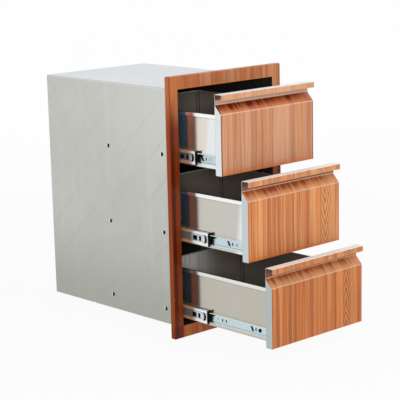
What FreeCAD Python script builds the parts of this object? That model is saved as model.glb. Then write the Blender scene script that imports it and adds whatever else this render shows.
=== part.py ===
import FreeCAD, Part
import itertools
import os
import re
import Sketcher

# Outdoor kitchen drawer unit: a folded steel carcass behind a wood-film face frame, with three drawers on
# telescopic ball slides. Millimetres, +Z up, front towards -Y. The origin is the middle of the frame's
# bottom face. Each drawer stands open as far as its pull-out says.

os.makedirs("parts", exist_ok=True)
doc = FreeCAD.newDocument("drawer_unit")
sheet = doc.addObject("Spreadsheet::Sheet", "sizes")

SIZES = {
    # face frame
    "frame_width": 419.0,
    "frame_height": 711.0,
    "frame_depth": 14.5,
    "frame_sheet": 1.2,
    "frame_bend": 2.5,
    "frame_corner": 4.0,
    "border_side": 31.5,
    "border_top": 35.0,
    "border_bottom": 33.0,
    # carcass
    "carcass_depth": 550.0,
    "carcass_sheet": 1.0,
    "carcass_bend": 2.5,
    "side_reveal": 7.5,
    "edge_reveal": 0.5,
    "frame_tab": 18.0,
    "joint_tab": 15.0,
    "edge_relief": 18.0,
    "fit_gap": 0.1,
    # posts between the carcass sides and the slides
    "post_width": 34.0,
    "post_brim": 12.0,
    "post_sheet": 1.2,
    "post_rise": 465.0,
    # slides
    "slide_length": 400.0,
    "slide_setback": 23.0,
    "slide_thick": 12.7,
    "rail_sheet": 1.2,
    "rail_centre": 36.8,
    "cabinet_rail_tall": 45.5,
    "cabinet_rail_reach": 10.9,
    "cabinet_rail_lip": 1.5,
    "middle_rail_tall": 36.0,
    "middle_rail_reach": 8.2,
    "middle_rail_lag": 25.0,
    "drawer_rail_tall": 27.0,
    "drawer_rail_reach": 8.2,
    "web_gap": 0.7,
    "flange_inset": 4.8,
    "rail_hole_front": 37.0,
    "rail_hole_pitch": 224.0,
    # ball cages
    "ball_gap": 0.075,
    "ball_pitch": 40.0,
    "ball_pocket": 0.15,
    "cage_strip": 0.6,
    "cage_wide": 5.6,
    "cage_length": 120.0,
    "outer_cage_start": 163.0,
    "inner_cage_start": 175.0,
    # bumpers on the middle rails
    "bumper_length": 5.0,
    "bumper_plate": 4.0,
    "bumper_heel": 4.0,
    "bumper_tongue": 6.0,
    "bumper_tail": 38.0,
    "bumper_gap": 0.4,
    "tongue_tall": 22.0,
    "tongue_round": 4.5,
    "tongue_lift": 3.8,
    "finger_length": 14.0,
    "finger_tall": 4.0,
    "finger_level": 4.0,
    # cut-outs of the rails, from each rail's own front end
    "crescent_end": 15.7,
    "crescent_tall": 24.0,
    "crescent_front": 12.5,
    "crescent_back": 4.0,
    "window_start": 25.6,
    "window_tall": 13.0,
    "window_short": 8.7,
    "window_bridge": 6.0,
    "window_long": 17.5,
    "slot_wide": 4.4,
    "slot_tall": 8.0,
    "slot_front": 44.5,
    "slant_front": 53.0,
    "slant_tall": 13.0,
    "slant_wide": 8.0,
    "slant_lean": 6.5,
    "slot_rear": 155.0,
    "slot_pitch": 13.5,
    "pip_place": 188.0,
    "pip_wide": 3.0,
    # square-necked bolts
    "bolt_head": 8.0,
    "bolt_rise": 1.9,
    "bolt_neck": 4.0,
    "bolt_hole": 4.2,
    "drawer_hole_front": 32.0,
    "drawer_hole_pitch": 250.0,
    # drawer fronts
    "front_height": 211.0,
    "front_gap": 2.5,
    "side_gap": 4.0,
    "front_sheet": 1.0,
    "front_bend": 1.2,
    "front_depth": 21.5,
    "face_height": 159.0,
    "slope_top": 182.5,
    "hook_reach": 24.6,
    "lip_height": 15.0,
    # drawer boxes
    "box_sheet": 1.0,
    "box_base": 13.2,
    "box_top": 155.6,
    "box_depth": 427.0,
    "hem_reach": 3.5,
    "hem_drop": 10.0,
    "hem_notch": 2.0,
    "liner_inset": 0.6,
    # how far each drawer, and with it its pair of middle rails, stands out
    "pull_top": 157.0,
    "pull_middle": 250.0,
    "pull_bottom": 331.0,
    "rail_out_top": 102.5,
    "rail_out_middle": 145.0,
    "rail_out_bottom": 135.2,
}
for row, (alias, size) in enumerate(SIZES.items(), 1):
    sheet.set(f"A{row}", alias)
    sheet.set(f"B{row}", str(size))
    sheet.setAlias(f"B{row}", alias)
doc.recompute()

# Places that several pieces share, as expressions of the sheet's sizes.
FRONT = "(-frame_depth/2)"
HALF_OPENING = "(frame_width/2 - border_side)"
OPENING_TOP = "(frame_height - border_top)"
CARCASS_HALF = f"({HALF_OPENING} + side_reveal + carcass_sheet)"
CARCASS_INNER = f"({HALF_OPENING} + side_reveal)"
CARCASS_FLOOR = "(border_bottom - edge_reveal)"
CARCASS_CEILING = f"({OPENING_TOP} + edge_reveal)"
CARCASS_BACK = "(carcass_depth - carcass_sheet)"
POST_FOOT = f"({CARCASS_FLOOR} + joint_tab)"
HALF_FRONT = f"({HALF_OPENING} - side_gap)"
FRONT_STEP = "(front_height + front_gap)"
LINER_BACK = "(front_depth + box_sheet)"
BOX_BACK = "(front_depth + box_sheet + box_depth)"
# The drawer rails' open edges stand just inside the fronts' side flanges.
HALF_BOX = f"({HALF_FRONT} - drawer_rail_reach - flange_inset)"
CABINET_WEB = f"({HALF_BOX} + slide_thick)"
MIDDLE_WEB = f"({CABINET_WEB} - rail_sheet - web_gap)"
MIDDLE_FRONT = "(slide_setback + middle_rail_lag)"
OUTER_RACE = "(cabinet_rail_tall/2 - rail_sheet)"
INNER_RACE = "(middle_rail_tall/2 - rail_sheet)"

ROWS = {"bottom": 0, "middle": 1, "top": 2}
SIDES = {"left": -1, "right": 1}
HEIGHTS = (1, -1)
BALLS_PER_STRIP = 3
DISC_SIDES = 12
pieces = []


def refer(expression):
    """Puts the sheet's name before each size in an expression."""
    return re.sub(r"[a-z]+(?:_[a-z]+)+", lambda found: "sizes." + found.group(0), expression)


def value(expression):
    """The number that an expression of the sheet's sizes gives."""
    return float(sheet.evalExpression(refer(str(expression))))


def bind(thing, field, expression):
    thing.setExpression(field, refer(str(expression)))


def place(thing, x="0", y="0", z="0"):
    """Binds a piece's place in the unit's own frame."""
    for axis, expression in zip("xyz", (x, y, z)):
        bind(thing, f"Placement.Base.{axis}", expression)


def new_body(label):
    body = doc.addObject("PartDesign::Body", label)
    body.Label = label
    body.AllowCompound = True
    pieces.append(body)
    return body


def new_sketch(body, plane, name):
    sketch = body.newObject("Sketcher::SketchObject", f"{name}_sketch")
    origin_plane = next(f for f in body.Origin.OriginFeatures if f.Role == f"{plane}_Plane")
    sketch.AttachmentSupport = [(origin_plane, "")]
    sketch.MapMode = "FlatFace"
    return sketch


def pin(sketch, points):
    """Binds points, each given as (element, position, across, up), to the sheet."""
    expressions = []
    rules = []
    for element, position, across, up in points:
        for kind, expression in (("DistanceX", across), ("DistanceY", up)):
            expressions.append(expression)
            rules.append(Sketcher.Constraint(kind, -1, 1, element, position, value(expression)))
    first = sketch.ConstraintCount
    sketch.addConstraint(rules)
    for number, expression in enumerate(expressions, first):
        bind(sketch, f"Constraints[{number}]", expression)


def outline(sketch, corners):
    """Draws a closed outline of straight edges through corners given as expressions."""
    first = sketch.GeometryCount
    count = len(corners)
    points = [FreeCAD.Vector(value(across), value(up), 0) for across, up in corners]
    sketch.addGeometry([Part.LineSegment(points[i - 1], points[i]) for i in range(count)], False)
    joins = [(first + i, first + (i + 1) % count) for i in range(count)]
    sketch.addConstraint([Sketcher.Constraint("Coincident", one, 2, other, 1) for one, other in joins])
    pin(sketch, [(first + i, 2, across, up) for i, (across, up) in enumerate(corners)])


def rectangle(sketch, low_across, low_up, high_across, high_up):
    outline(
        sketch,
        [(low_across, low_up), (high_across, low_up), (high_across, high_up), (low_across, high_up)],
    )


def square(sketch, across, up, width):
    half = f"({width})/2"
    rectangle(sketch, f"{across} - {half}", f"{up} - {half}", f"{across} + {half}", f"{up} + {half}")


def disc(sketch, across, up, diameter):
    """A small round outline, drawn with a few straight sides."""
    turns = [360 * (i + 0.5) / DISC_SIDES for i in range(DISC_SIDES)]
    radius = f"({diameter})/2"
    outline(sketch, [(f"{across} + {radius}*cos({turn})", f"{up} + {radius}*sin({turn})") for turn in turns])


def extrude(kind, body, sketch, name, length, both_ways, flip):
    feature = body.newObject(f"PartDesign::{kind}", name)
    feature.Profile = sketch
    feature.SideType = "Symmetric" if both_ways else "One side"
    feature.Reversed = flip
    bind(feature, "Length", length)
    sketch.recompute()
    feature.recompute()
    return feature


def pad(body, sketch, name, length, both_ways=False, flip=False):
    return extrude("Pad", body, sketch, name, length, both_ways, flip)


def pocket(body, sketch, name, length, both_ways=False, flip=False):
    before = body.Tip.Shape.Volume
    feature = extrude("Pocket", body, sketch, name, length, both_ways, flip)
    if feature.Shape.Volume >= before:
        raise RuntimeError(f"{name} cuts nothing from {body.Label}")
    return feature


def edge_names(shape, chosen):
    """The names of a shape's straight edges for which chosen(start, end) holds."""
    names = []
    for number, edge in enumerate(shape.Edges, 1):
        ends = [vertex.Point for vertex in edge.Vertexes]
        if len(ends) == 2 and isinstance(edge.Curve, Part.Line) and chosen(*ends):
            names.append(f"Edge{number}")
    return names


def round_edges(body, base, name, radius, chosen):
    feature = body.newObject("PartDesign::Fillet", name)
    feature.Base = (base, edge_names(base.Shape, chosen))
    bind(feature, "Radius", radius)
    feature.recompute()
    return feature


def hollow(body, base, name, wall, facing):
    """Turns a solid into sheet metal, open on its flat faces that look the given way."""
    open_faces = [
        f"Face{number}"
        for number, face in enumerate(base.Shape.Faces, 1)
        if isinstance(face.Surface, Part.Plane) and face.normalAt(0, 0).isEqual(facing, 1e-6)
    ]
    feature = body.newObject("PartDesign::Thickness", name)
    feature.Base = (base, open_faces)
    feature.Reversed = True
    feature.Join = "Intersection"
    bind(feature, "Value", wall)
    feature.recompute()
    return feature


def near(number, expression):
    return abs(number - value(expression)) < 1e-4


def runs_along(axis, start, end):
    """Whether an edge runs along the axis numbered 0 for X, 1 for Y or 2 for Z."""
    return all(abs(start[i] - end[i]) < 1e-4 for i in range(3) if i != axis)


def corner_at(axis, places):
    """Chooses the edges along an axis that pass through the given places across it."""
    others = [i for i in range(3) if i != axis]

    def chosen(start, end):
        return runs_along(axis, start, end) and any(
            near(start[others[0]], first) and near(start[others[1]], second) for first, second in places
        )

    return chosen


def both_sides(across, up):
    return [(across, up), (f"-({across})", up)]


def face_frame():
    body = new_body("face_frame")
    sketch = new_sketch(body, "XZ", "frame_block")
    rectangle(sketch, "-frame_width/2", "0", "frame_width/2", "frame_height")
    block = pad(body, sketch, "frame_block", "frame_depth", flip=True)
    corners = both_sides("frame_width/2", "0") + both_sides("frame_width/2", "frame_height")
    rounded = round_edges(body, block, "frame_corners", "frame_corner", corner_at(1, corners))
    feature = body.newObject("PartDesign::Fillet", "frame_bends")
    front_edges = [
        f"Edge{number}"
        for number, edge in enumerate(rounded.Shape.Edges, 1)
        if all(near(vertex.Y, "0") for vertex in edge.Vertexes)
    ]
    feature.Base = (rounded, front_edges)
    bind(feature, "Radius", "frame_bend")
    feature.recompute()
    hollow(body, feature, "frame_shell", "frame_sheet", FreeCAD.Vector(0, 1, 0))
    sketch = new_sketch(body, "XZ", "frame_opening")
    rectangle(sketch, f"-{HALF_OPENING}", "border_bottom", HALF_OPENING, OPENING_TOP)
    pocket(body, sketch, "frame_opening", "frame_depth")
    place(body, y=FRONT)


def carcass_wrap():
    """Both sides and the top, folded from one sheet, with tabs turned out behind the frame."""
    body = new_body("carcass_wrap")
    low = f"({CARCASS_FLOOR} - carcass_sheet)"
    high = f"({CARCASS_CEILING} + carcass_sheet)"
    sketch = new_sketch(body, "XZ", "wrap_profile")
    outline(
        sketch,
        [
            (f"-{CARCASS_HALF}", low),
            (f"-{CARCASS_HALF}", high),
            (CARCASS_HALF, high),
            (CARCASS_HALF, low),
            (CARCASS_INNER, low),
            (CARCASS_INNER, CARCASS_CEILING),
            (f"-{CARCASS_INNER}", CARCASS_CEILING),
            (f"-{CARCASS_INNER}", low),
        ],
    )
    wrap = pad(body, sketch, "wrap", "carcass_depth - frame_sheet", flip=True)
    outer = round_edges(
        body, wrap, "wrap_outer_bend", "carcass_bend", corner_at(1, both_sides(CARCASS_HALF, high))
    )
    round_edges(
        body,
        outer,
        "wrap_inner_bend",
        "carcass_bend - carcass_sheet",
        corner_at(1, both_sides(CARCASS_INNER, CARCASS_CEILING)),
    )
    sketch = new_sketch(body, "XZ", "wrap_tabs")
    bend_start = f"({CARCASS_HALF} - carcass_bend)"
    bend_low = f"({high} - carcass_bend)"
    for side in SIDES.values():
        rectangle(
            sketch, f"{side}*{CARCASS_INNER}", low, f"{side}*({CARCASS_HALF} + frame_tab)", bend_low
        )
    rectangle(sketch, f"-{bend_start}", CARCASS_CEILING, bend_start, f"{high} + frame_tab")
    pad(body, sketch, "wrap_tabs", "carcass_sheet", flip=True)
    sketch = new_sketch(body, "YZ", "wrap_holes")
    for row in ROWS.values():
        for hole in ("0", "rail_hole_pitch"):
            along = f"slide_setback + rail_hole_front + {hole} - frame_sheet"
            square(sketch, along, rail_level(row), "bolt_hole")
    pocket(body, sketch, "wrap_holes", "frame_width", both_ways=True)
    place(body, y=f"{FRONT} + frame_sheet")


def carcass_bottom():
    """The floor, with a tab turned down behind the frame and its long edges turned up."""
    body = new_body("carcass_bottom")
    low = f"({CARCASS_FLOOR} - carcass_sheet)"
    width = f"2*{CARCASS_INNER}"
    back = f"({CARCASS_BACK} - frame_sheet - fit_gap)"
    sketch = new_sketch(body, "YZ", "floor_profile")
    outline(
        sketch,
        [
            ("0", f"{low} - frame_tab"),
            ("0", CARCASS_FLOOR),
            (back, CARCASS_FLOOR),
            (back, low),
            ("carcass_sheet", low),
            ("carcass_sheet", f"{low} - frame_tab"),
        ],
    )
    floor = pad(body, sketch, "floor", width, both_ways=True)
    round_edges(
        body, floor, "floor_bend", "carcass_sheet/2", corner_at(0, [("0", CARCASS_FLOOR)])
    )
    sketch = new_sketch(body, "XZ", "floor_edges")
    for side in SIDES.values():
        rectangle(
            sketch,
            f"{side}*({CARCASS_INNER} - carcass_sheet)",
            low,
            f"{side}*{CARCASS_INNER}",
            f"{CARCASS_FLOOR} + joint_tab",
        )
    pad(body, sketch, "floor_edges", back, flip=True)
    sketch = new_sketch(body, "YZ", "edge_relief")
    rectangle(sketch, "-edge_relief", CARCASS_FLOOR, "edge_relief", f"{CARCASS_FLOOR} + 2*joint_tab")
    pocket(body, sketch, "edge_relief", "frame_width", both_ways=True)
    place(body, y=f"{FRONT} + frame_sheet")


def carcass_back():
    """A shallow pan whose edges are turned forwards inside the wrap."""
    body = new_body("carcass_back")
    low = f"({CARCASS_FLOOR} + joint_tab + fit_gap)"
    sketch = new_sketch(body, "XZ", "back_block")
    rectangle(sketch, f"-{CARCASS_INNER}", low, CARCASS_INNER, CARCASS_CEILING)
    block = pad(body, sketch, "back_block", "joint_tab", flip=True)
    corners = both_sides(CARCASS_INNER, low) + both_sides(CARCASS_INNER, CARCASS_CEILING)
    rounded = round_edges(body, block, "back_corners", "carcass_bend", corner_at(1, corners))
    hollow(body, rounded, "back_shell", "carcass_sheet", FreeCAD.Vector(0, -1, 0))
    place(body, y=f"{FRONT} + carcass_depth - joint_tab")


def rail_level(row):
    """Height of a slide's centre line: the drawers stand above each other at equal steps."""
    return f"(border_bottom + front_gap + {row}*{FRONT_STEP} + rail_centre)"


def drawer_level(row):
    return f"(border_bottom + front_gap + {row}*{FRONT_STEP})"


def post(end, side_name):
    """A hat-section strip that carries the slides clear of the frame's inner edge."""
    side = SIDES[side_name]
    body = new_body(f"slide_post_{end}_{side_name}")
    wall = CARCASS_INNER
    brim = "(post_width/2 + post_brim)"
    half = "(post_width/2)"
    sketch = new_sketch(body, "XY", "hat_profile")
    outline(
        sketch,
        [
            (f"{side}*{wall}", f"-{brim}"),
            (f"{side}*{wall}", f"-{half} + post_sheet"),
            (f"{side}*({CABINET_WEB} + post_sheet)", f"-{half} + post_sheet"),
            (f"{side}*({CABINET_WEB} + post_sheet)", f"{half} - post_sheet"),
            (f"{side}*{wall}", f"{half} - post_sheet"),
            (f"{side}*{wall}", brim),
            (f"{side}*({wall} - post_sheet)", brim),
            (f"{side}*({wall} - post_sheet)", half),
            (f"{side}*{CABINET_WEB}", half),
            (f"{side}*{CABINET_WEB}", f"-{half}"),
            (f"{side}*({wall} - post_sheet)", f"-{half}"),
            (f"{side}*({wall} - post_sheet)", f"-{brim}"),
        ],
    )
    pad(body, sketch, "hat", "post_rise")
    sketch = new_sketch(body, "YZ", "slots")
    for row in ROWS.values():
        square(sketch, "0", f"({rail_level(row)} - {POST_FOOT})", "bolt_hole")
    pocket(body, sketch, "slots", "frame_width", both_ways=True)
    step = "0" if end == "front" else "rail_hole_pitch"
    place(body, y=f"{FRONT} + slide_setback + rail_hole_front + {step}", z=POST_FOOT)


def channel(body, side, web, reach, inward, tall, lip, name):
    """Draws a rail's section: a web, two flanges turned inwards or outwards, and their lips."""
    turn = -1 if inward else 1
    half = f"({tall}/2)"
    far = f"({web} + {turn}*({reach}))"
    lip_back = f"({far} - {turn}*rail_sheet)"
    web_in = f"({web} + {turn}*rail_sheet)"
    corners = [(web, half), (far, half)]
    if lip:
        corners += [(far, f"{half} - rail_sheet - {lip}"), (lip_back, f"{half} - rail_sheet - {lip}")]
        corners += [(lip_back, f"{half} - rail_sheet")]
    else:
        corners += [(far, f"{half} - rail_sheet")]
    corners += [(web_in, f"{half} - rail_sheet")]
    lower = [(across, f"-({up})") for across, up in reversed(corners)]
    sketch = new_sketch(body, "XZ", name)
    outline(sketch, [(f"{side}*{across}", up) for across, up in corners + lower])
    return sketch


def rounded_rail(body, base, side, web, tall):
    return round_edges(
        body,
        base,
        "rail_bends",
        "0.8*rail_sheet",
        corner_at(1, [(f"{side}*{web}", f"{tall}/2"), (f"{side}*{web}", f"-{tall}/2")]),
    )


def crescent(sketch):
    """A curved slot with its back to the rail's front end, drawn with two arcs on one chord."""
    ends = [("crescent_end", f"{turn}*crescent_tall/2") for turn in HEIGHTS]
    points = [FreeCAD.Vector(value(along), value(up), 0) for along, up in ends]
    first = sketch.GeometryCount
    for depth in ("crescent_front", "crescent_back"):
        middle = FreeCAD.Vector(value(f"crescent_end - {depth}"), 0, 0)
        sketch.addGeometry(Part.Arc(points[0], middle, points[1]), False)
    joins = [Sketcher.Constraint("Coincident", first, end, first + 1, end) for end in (1, 2)]
    sketch.addConstraint(joins)
    pin(sketch, [(first, position, along, up) for position, (along, up) in zip((1, 2), ends)])
    for arc, depth in ((first, "crescent_front"), (first + 1, "crescent_back")):
        radius = f"(crescent_tall*crescent_tall/4 + {depth}*{depth})/(2*{depth})"
        rule = sketch.addConstraint(Sketcher.Constraint("Radius", arc, value(radius)))
        bind(sketch, f"Constraints[{rule}]", radius)


def cabinet_rail(name, row, side_name):
    side = SIDES[side_name]
    body = new_body(f"cabinet_rail_{name}_{side_name}")
    sketch = channel(
        body,
        side,
        CABINET_WEB,
        "cabinet_rail_reach",
        True,
        "cabinet_rail_tall",
        "cabinet_rail_lip",
        "cabinet_profile",
    )
    rail = pad(body, sketch, "rail", "slide_length", flip=True)
    rounded_rail(body, rail, side, CABINET_WEB, "cabinet_rail_tall")
    sketch = new_sketch(body, "YZ", "holes")
    for hole in ("0", "rail_hole_pitch"):
        square(sketch, f"rail_hole_front + {hole}", "0", "bolt_hole")
    pocket(body, sketch, "holes", "frame_width", both_ways=True)
    place(body, y=f"{FRONT} + slide_setback", z=rail_level(row))


def middle_rail(name, row, side_name):
    """A channel with a crescent slot and two windows, which rolls between the other two rails."""
    side = SIDES[side_name]
    body = new_body(f"middle_rail_{name}_{side_name}")
    sketch = channel(
        body, side, MIDDLE_WEB, "middle_rail_reach", True, "middle_rail_tall", None, "middle_profile"
    )
    rail = pad(body, sketch, "rail", "slide_length - middle_rail_lag", flip=True)
    rounded_rail(body, rail, side, MIDDLE_WEB, "middle_rail_tall")
    sketch = new_sketch(body, "YZ", "cut_outs")
    crescent(sketch)
    second = "(window_start + window_short + window_bridge)"
    for start, length in (("window_start", "window_short"), (second, "window_long")):
        rectangle(sketch, start, "-window_tall/2", f"{start} + {length}", "window_tall/2")
    pocket(body, sketch, "cut_outs", "frame_width", both_ways=True)
    place(
        body,
        y=f"{FRONT} + {MIDDLE_FRONT} - rail_out_{name}",
        z=rail_level(row),
    )


def drawer_rail(name, row, side_name):
    side = SIDES[side_name]
    body = new_body(f"drawer_rail_{name}_{side_name}")
    sketch = channel(
        body, side, HALF_BOX, "drawer_rail_reach", False, "drawer_rail_tall", None, "drawer_profile"
    )
    pad(body, sketch, "rail", "slide_length", flip=True)
    sketch = new_sketch(body, "YZ", "cut_outs")
    for hole in ("0", "drawer_hole_pitch"):
        square(sketch, f"drawer_hole_front + {hole}", "0", "bolt_hole")
    for along in ("slot_front", "slot_rear", "slot_rear + slot_pitch"):
        rectangle(sketch, along, "-slot_tall/2", f"{along} + slot_wide", "slot_tall/2")
    square(sketch, "pip_place", "0", "pip_wide")
    outline(
        sketch,
        [
            ("slant_front", "-slant_tall/2"),
            ("slant_front + slant_wide", "-slant_tall/2"),
            ("slant_front + slant_lean + slant_wide", "slant_tall/2"),
            ("slant_front + slant_lean", "slant_tall/2"),
        ],
    )
    pocket(body, sketch, "cut_outs", "frame_width", both_ways=True)
    place(body, y=f"{FRONT} + slide_setback - pull_{name}", z=rail_level(row))


def drawer_front(name, row):
    """One folded sheet: face, side and bottom returns, sloped grip space, neck and hooked pull."""
    body = new_body(f"drawer_front_{name}")
    sketch = new_sketch(body, "YZ", "front_block")
    outline(
        sketch,
        [("0", "0"), ("0", "face_height"), ("front_depth", "slope_top"), ("front_depth", "0")],
    )
    block = pad(body, sketch, "front_block", f"2*{HALF_FRONT}", both_ways=True)
    shell = hollow(body, block, "front_shell", "front_sheet", FreeCAD.Vector(0, 1, 0))
    round_edges(
        body,
        shell,
        "front_bends",
        "front_bend",
        lambda start, end: near(start.y, "0") and near(end.y, "0"),
    )
    sketch = new_sketch(body, "YZ", "hook_profile")
    slope = "sqrt((slope_top - face_height)^2 + front_depth^2)"
    neck_low = f"(slope_top - front_sheet*{slope}/front_depth)"
    lip_front = "(front_depth - hook_reach)"
    lip_low = "(front_height - lip_height)"
    outline(
        sketch,
        [
            ("front_depth", neck_low),
            ("front_depth", "front_height"),
            (lip_front, "front_height"),
            (lip_front, lip_low),
            (f"{lip_front} + front_sheet", lip_low),
            (f"{lip_front} + front_sheet", "front_height - front_sheet"),
            ("front_depth - front_sheet", "front_height - front_sheet"),
            ("front_depth - front_sheet", neck_low),
        ],
    )
    hook = pad(body, sketch, "hook", f"2*{HALF_FRONT}", both_ways=True)
    round_edges(
        body,
        hook,
        "hook_bends",
        "front_bend",
        corner_at(0, [("front_depth", "front_height"), (lip_front, "front_height")]),
    )
    place(body, y=f"{FRONT} - pull_{name}", z=drawer_level(row))


def drawer_liner(name, row):
    """The flat inner sheet that closes the folded front from behind."""
    body = new_body(f"drawer_liner_{name}")
    sketch = new_sketch(body, "XZ", "liner")
    half = f"({HALF_FRONT} - liner_inset)"
    rectangle(sketch, f"-{half}", "liner_inset", half, "slope_top - liner_inset")
    pad(body, sketch, "liner", "box_sheet", flip=True)
    place(body, y=f"{FRONT} + front_depth - pull_{name}", z=drawer_level(row))


def drawer_box(name, row):
    """Floor and both sides from one sheet, with the top edges hemmed outwards."""
    body = new_body(f"drawer_box_{name}")
    hem = f"({HALF_BOX} + hem_reach)"
    corners = [
        (HALF_BOX, "box_base"),
        (HALF_BOX, "box_top - box_sheet"),
        (f"{hem} - box_sheet", "box_top - box_sheet"),
        (f"{hem} - box_sheet", "box_top - hem_drop"),
        (hem, "box_top - hem_drop"),
        (hem, "box_top"),
        (f"{HALF_BOX} - box_sheet", "box_top"),
        (f"{HALF_BOX} - box_sheet", "box_base + box_sheet"),
    ]
    mirrored = [(f"-({across})", up) for across, up in reversed(corners)]
    sketch = new_sketch(body, "XZ", "box_profile")
    outline(sketch, corners + mirrored)
    box = pad(body, sketch, "box", "box_depth", flip=True)
    places = both_sides(hem, "box_top") + both_sides(HALF_BOX, "box_base")
    round_edges(body, box, "box_bends", "0.9*box_sheet", corner_at(1, places))
    sketch = new_sketch(body, "XZ", "hem_ends")
    for side in SIDES.values():
        rectangle(sketch, f"{side}*{HALF_BOX}", "box_base", f"{side}*{HALF_OPENING}", "front_height")
    pocket(body, sketch, "hem_ends", "hem_notch")
    sketch = new_sketch(body, "YZ", "bolt_holes")
    for hole in ("0", "drawer_hole_pitch"):
        along = f"slide_setback + drawer_hole_front + {hole} - {LINER_BACK}"
        square(sketch, along, "rail_centre", "bolt_hole")
    pocket(body, sketch, "bolt_holes", "frame_width", both_ways=True)
    place(body, y=f"{FRONT} + {LINER_BACK} - pull_{name}", z=drawer_level(row))


def drawer_back(name, row):
    body = new_body(f"drawer_back_{name}")
    sketch = new_sketch(body, "YZ", "back_profile")
    outline(
        sketch,
        [
            ("0", "box_base + box_sheet + fit_gap"),
            ("0", "box_top"),
            ("-hem_drop", "box_top"),
            ("-hem_drop", "box_top - box_sheet"),
            ("-box_sheet", "box_top - box_sheet"),
            ("-box_sheet", "box_base + box_sheet + fit_gap"),
        ],
    )
    pad(body, sketch, "back", f"2*({HALF_BOX} - box_sheet - fit_gap)", both_ways=True)
    place(body, y=f"{FRONT} + {BOX_BACK} - pull_{name}", z=drawer_level(row))


def bolt_group(label, seat, tip, places):
    """Square-necked bolts on both sides: heads stand out from x = seat and necks reach in to x = tip."""
    body = new_body(label)
    for side in SIDES.values():
        for kind in ("heads", "necks"):
            sketch = new_sketch(body, "YZ", kind)
            bind(sketch, "AttachmentOffset.Base.z", f"{side}*{seat}")
            for along, up in places:
                if kind == "heads":
                    disc(sketch, along, up, "bolt_head")
                else:
                    square(sketch, along, up, "bolt_neck")
            if kind == "heads":
                pad(body, sketch, kind, "bolt_rise", flip=side < 0)
            else:
                pad(body, sketch, kind, f"{seat} - {tip}", flip=side > 0)
    return body


def slide_bolts():
    """Bolts through the carcass sides and the posts into the cabinet rails."""
    places = [
        (f"slide_setback + rail_hole_front + {hole}", rail_level(row))
        for row in ROWS.values()
        for hole in ("0", "rail_hole_pitch")
    ]
    body = bolt_group("slide_bolts", CARCASS_HALF, f"({CABINET_WEB} - rail_sheet)", places)
    place(body, y=FRONT)


def drawer_bolts(name, row):
    """Bolts through the drawer rails into the box sides."""
    places = [(f"drawer_hole_front + {hole}", "0") for hole in ("0", "drawer_hole_pitch")]
    seat = f"({HALF_BOX} + rail_sheet)"
    body = bolt_group(f"drawer_bolts_{name}", seat, f"({HALF_BOX} - box_sheet)", places)
    place(body, y=f"{FRONT} + slide_setback - pull_{name}", z=rail_level(row))


def slide_bumpers(name, row):
    """Plastic ends on the middle rails: they wrap the drawer rail and steady it."""
    body = new_body(f"slide_bumpers_{name}")
    inside = f"({HALF_BOX} + drawer_rail_reach + bumper_gap)"
    open_side = f"({MIDDLE_WEB} - middle_rail_reach)"
    arm_low = "(drawer_rail_tall/2 + bumper_gap)"
    arm_high = "(middle_rail_tall/2)"
    for side in SIDES.values():
        sketch = new_sketch(body, "XZ", "collar")
        corners = [(MIDDLE_WEB, arm_high), (open_side, arm_high), (open_side, arm_low), (inside, arm_low)]
        lower = [(across, f"-{up}") for across, up in reversed(corners)]
        outline(sketch, [(f"{side}*{across}", up) for across, up in corners + lower])
        pad(body, sketch, "collar", "bumper_plate")
        web = f"{side}*{MIDDLE_WEB}"
        for turn, length in ((1, "bumper_length"), (-1, "bumper_heel")):
            sketch = new_sketch(body, "XZ", "arm")
            rectangle(sketch, f"{side}*{open_side}", f"{turn}*{arm_low}", web, f"{turn}*{arm_high}")
            pad(body, sketch, "arm", length)
        in_channel = f"{side}*({HALF_BOX} + tongue_lift)"
        sketch = new_sketch(body, "XZ", "tongue")
        rectangle(sketch, in_channel, "-tongue_tall/2", web, "tongue_tall/2")
        tongue = pad(body, sketch, "tongue", "bumper_tongue")
        ends = [("-bumper_tongue", f"{turn}*tongue_tall/2") for turn in HEIGHTS]
        rounded = body.newObject("PartDesign::Fillet", "tongue_tip")
        chosen = corner_at(0, ends)
        rounded.Base = (
            tongue,
            edge_names(tongue.Shape, lambda start, end: chosen(start, end) and start.x * side > 0),
        )
        bind(rounded, "Radius", "tongue_round")
        rounded.recompute()
        sketch = new_sketch(body, "XZ", "finger")
        rectangle(sketch, in_channel, "finger_level", web, "finger_level + finger_tall")
        pad(body, sketch, "finger", "finger_length")
        sketch = new_sketch(body, "XZ", "tail")
        rectangle(
            sketch,
            f"{side}*{inside}",
            f"-{arm_low}",
            f"{side}*({MIDDLE_WEB} - rail_sheet)",
            arm_low,
        )
        pad(body, sketch, "tail", "bumper_tail", flip=True)
    place(body, y=f"{FRONT} + {MIDDLE_FRONT} - rail_out_{name}", z=rail_level(row))


def cage_places(stage):
    """Centre of a stage's strips and balls, and the ball's diameter."""
    if stage == "outer":
        across = f"({MIDDLE_WEB} - rail_sheet - cage_wide/2)"
        return across, f"((middle_rail_tall/2 + {OUTER_RACE})/2)", f"({OUTER_RACE} - middle_rail_tall/2)"
    across = f"(({MIDDLE_WEB} - middle_rail_reach + {HALF_BOX} + drawer_rail_reach)/2)"
    return across, f"((drawer_rail_tall/2 + {INNER_RACE})/2)", f"({INNER_RACE} - drawer_rail_tall/2)"


def cage_front(stage, name):
    """A cage rolls half as far as the rails on its two sides together."""
    if stage == "outer":
        return f"{FRONT} + outer_cage_start - rail_out_{name}/2"
    return f"{FRONT} + inner_cage_start - (rail_out_{name} + pull_{name})/2"


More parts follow.
